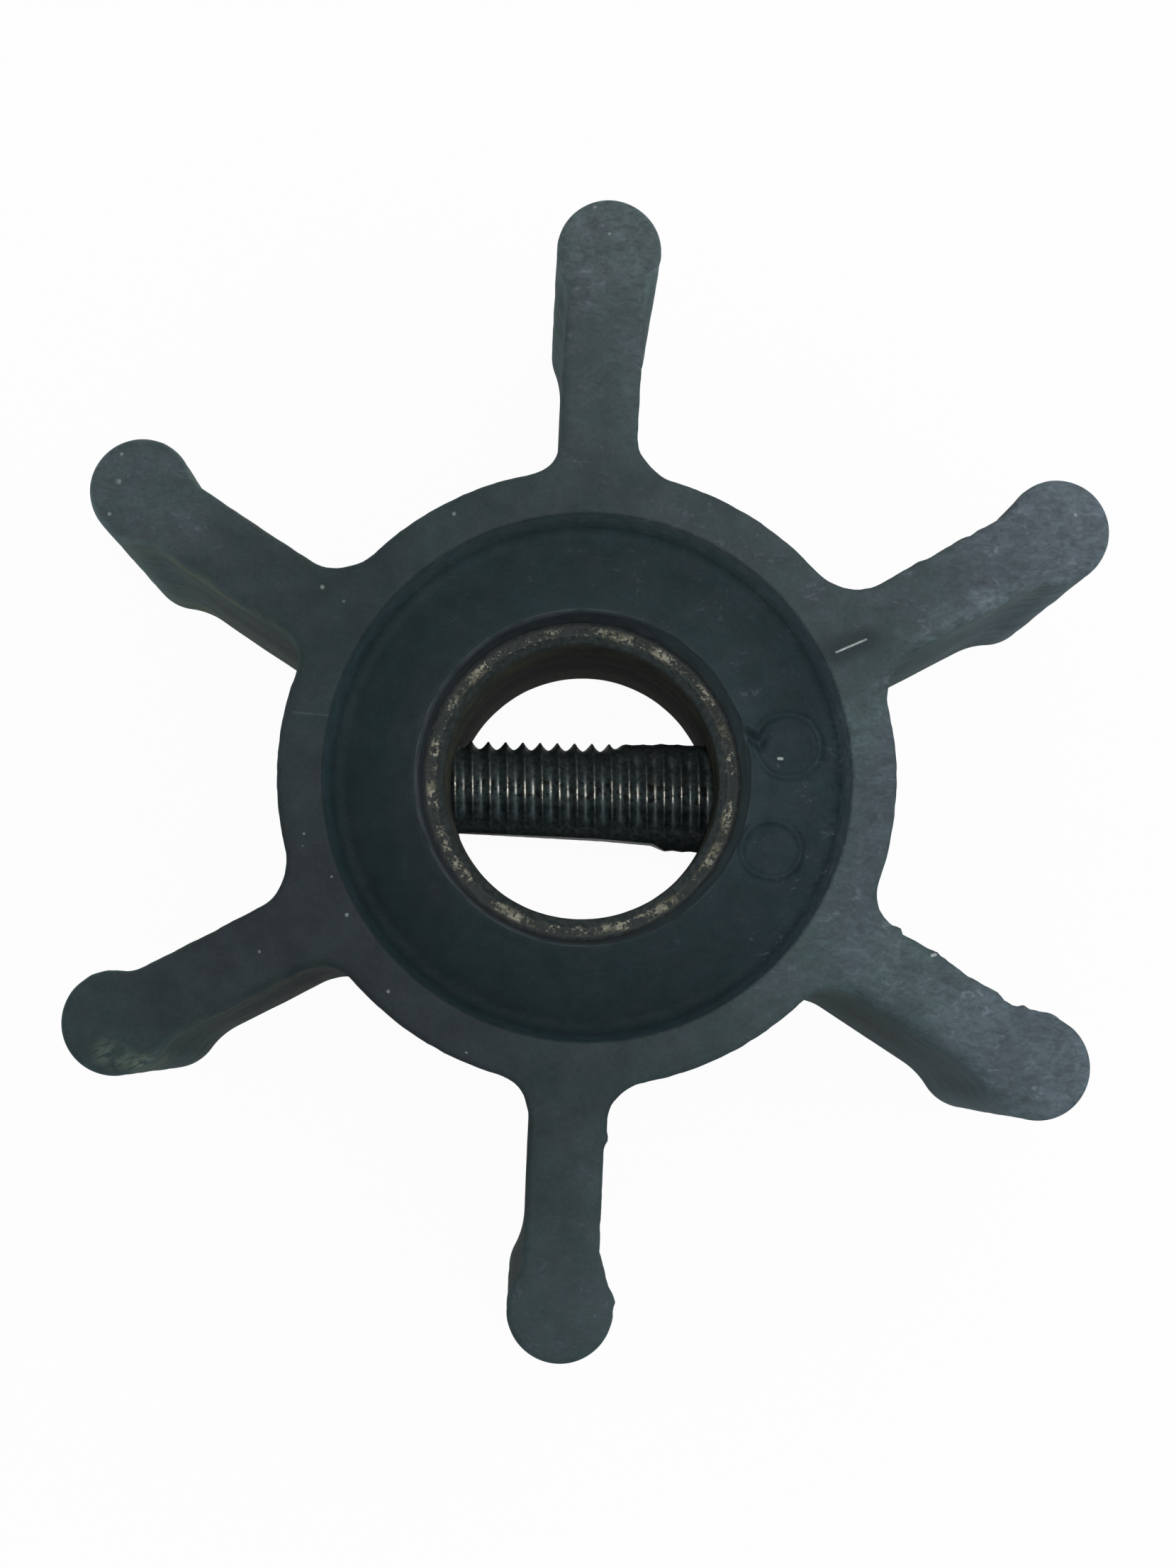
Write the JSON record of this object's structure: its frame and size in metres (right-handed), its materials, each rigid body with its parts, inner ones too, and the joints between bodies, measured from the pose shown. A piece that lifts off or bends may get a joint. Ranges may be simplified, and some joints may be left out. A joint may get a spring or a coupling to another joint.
{
  "type": "rubber pump impeller",
  "caption": "Flexible rubber pump impeller: bulb-tipped vanes round a dished hub, moulded on a bronze bush with a drive screw across its bore.",
  "frame": {"origin": "centre of the back face, on the shaft axis", "axes": "+Z along the shaft axis from the back face to the front face; +Y along one vane; X along the drive screw"},
  "size_m": [0.0448, 0.051, 0.022],
  "materials": {
    "rubber": "matt moulded rubber, dusty and lightly scuffed",
    "bronze": "tarnished bronze with bright worn flecks",
    "steel": "dark worn steel"
  },
  "bodies": {
    "root": {"rubber_body": "rubber", "hub_bush": "bronze", "drive_screw": "steel"}
  },
  "joints": []
}
